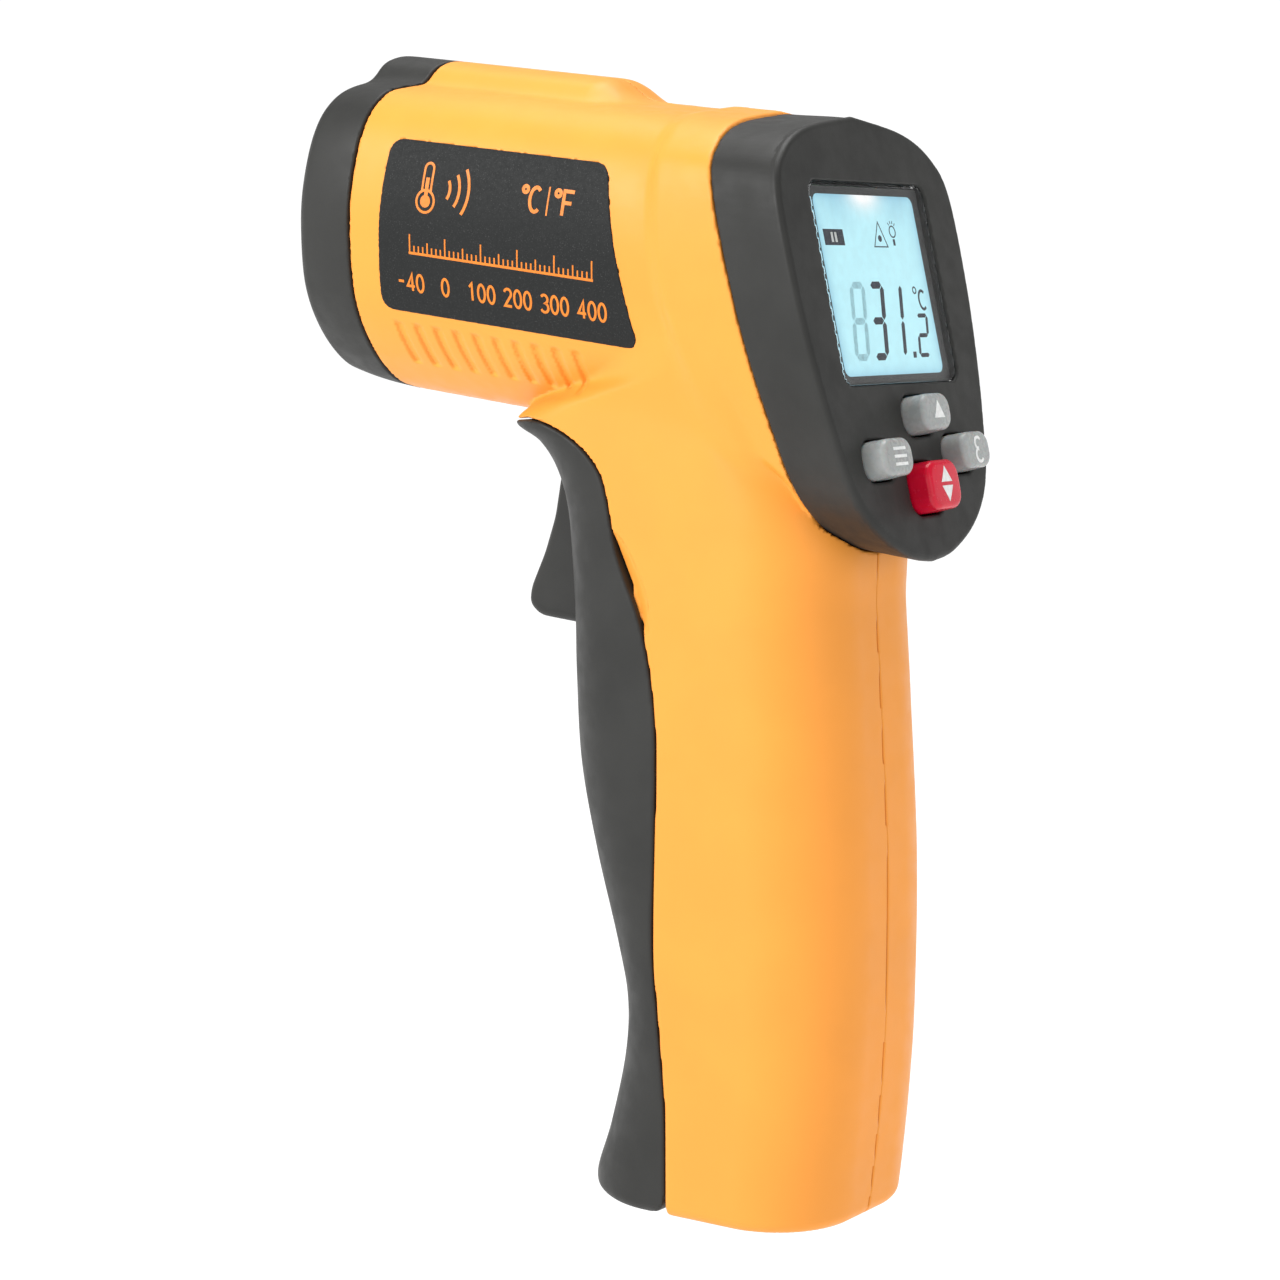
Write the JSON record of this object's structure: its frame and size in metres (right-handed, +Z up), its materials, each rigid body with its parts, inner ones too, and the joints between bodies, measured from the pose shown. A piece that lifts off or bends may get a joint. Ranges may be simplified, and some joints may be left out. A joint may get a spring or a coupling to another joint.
{
  "type": "infrared thermometer",
  "caption": "Pistol-grip infrared thermometer with a boxy tilted head, lit display, keys, trigger and a hinged battery door in the handle.",
  "frame": {"origin": "centre of the flat foot of the handle, on the shells' parting plane", "axes": "+Z up with the foot level, +X towards the user (display side), -X towards the target, -Y is the user's left when aiming"},
  "size_m": [0.0978, 0.0436, 0.157],
  "materials": {
    "orange_shell": "satin moulded orange",
    "dark_case": "fine matte dark grey",
    "side_plate": "speckled black film",
    "clear_pane": "clear pane",
    "lcd_glass": "lit pale blue",
    "white_plastic": "white diffuser plastic",
    "grey_rubber": "soft grey silicone",
    "grey_key": "translucent grey",
    "red_key": "translucent red",
    "board": "green solder mask",
    "black_plastic": "plain black",
    "steel": "bright steel",
    "brass": "turned brass",
    "lens_glass": "dark coated infrared lens",
    "battery_case": "grey metal jacket",
    "red_wire": "red insulation",
    "black_wire": "black insulation"
  },
  "bodies": {
    "body": {"left_shell": "orange_shell", "right_shell": "orange_shell", "nose_cap": "dark_case", "lens_tube": "black_plastic", "lens_retainer": "steel", "ir_lens": "lens_glass", "thermopile_sensor": "steel", "laser_module": "brass", "laser_window": "clear_pane", "sensor_board": "board", "main_board": "board", "buzzer": "black_plastic", "processor_chip": "black_plastic", "label_left": "side_plate", "label_right": "side_plate", "shell_screw_1": "steel", "shell_screw_2": "steel", "shell_screw_3": "steel", "shell_screw_4": "steel", "display_bezel": "dark_case", "display_window": "clear_pane", "lcd_panel": "lcd_glass", "lcd_backlight": "white_plastic", "display_board": "board", "keypad_membrane": "grey_rubber", "trigger_pin": "steel", "trigger_switch": "black_plastic", "trigger_spring": "steel", "door_pin": "steel", "battery_tray": "black_plastic", "battery_9v": "battery_case", "battery_snap": "black_plastic", "battery_lead_plus": "red_wire", "battery_lead_minus": "black_wire"},
    "trigger": {"trigger": "dark_case"},
    "battery_door": {"battery_door": "dark_case"},
    "key_up": {"key_up": "grey_key"},
    "key_left": {"key_left": "grey_key"},
    "key_right": {"key_right": "grey_key"},
    "key_red": {"key_red": "red_key"}
  },
  "joints": [
    {"name": "trigger_pull", "type": "hinge", "parent": "body", "child": "trigger", "pos_m": [-0.0205, 0, 0.099], "axis": [0, -1, 0], "range_deg": [0, 6], "stiffness_Nm_per_rad": 0.6, "springref_deg": -2.86, "deforming": ["trigger_spring"]},
    {"name": "battery_door_hinge", "type": "hinge", "parent": "body", "child": "battery_door", "pos_m": [-0.0052, 0, 0.0027], "axis": [0, -1, 0], "range_deg": [0, 80]},
    {"name": "key_up_press", "type": "slide", "parent": "body", "child": "key_up", "axis": [-0.974, 0, -0.2267], "range_m": [0, 0.0011], "stiffness_N_per_m": 900},
    {"name": "key_left_press", "type": "slide", "parent": "body", "child": "key_left", "axis": [-0.974, 0, -0.2267], "range_m": [0, 0.0011], "stiffness_N_per_m": 900},
    {"name": "key_right_press", "type": "slide", "parent": "body", "child": "key_right", "axis": [-0.974, 0, -0.2267], "range_m": [0, 0.0011], "stiffness_N_per_m": 900},
    {"name": "key_red_press", "type": "slide", "parent": "body", "child": "key_red", "axis": [-0.974, 0, -0.2267], "range_m": [0, 0.0011], "stiffness_N_per_m": 900}
  ]
}
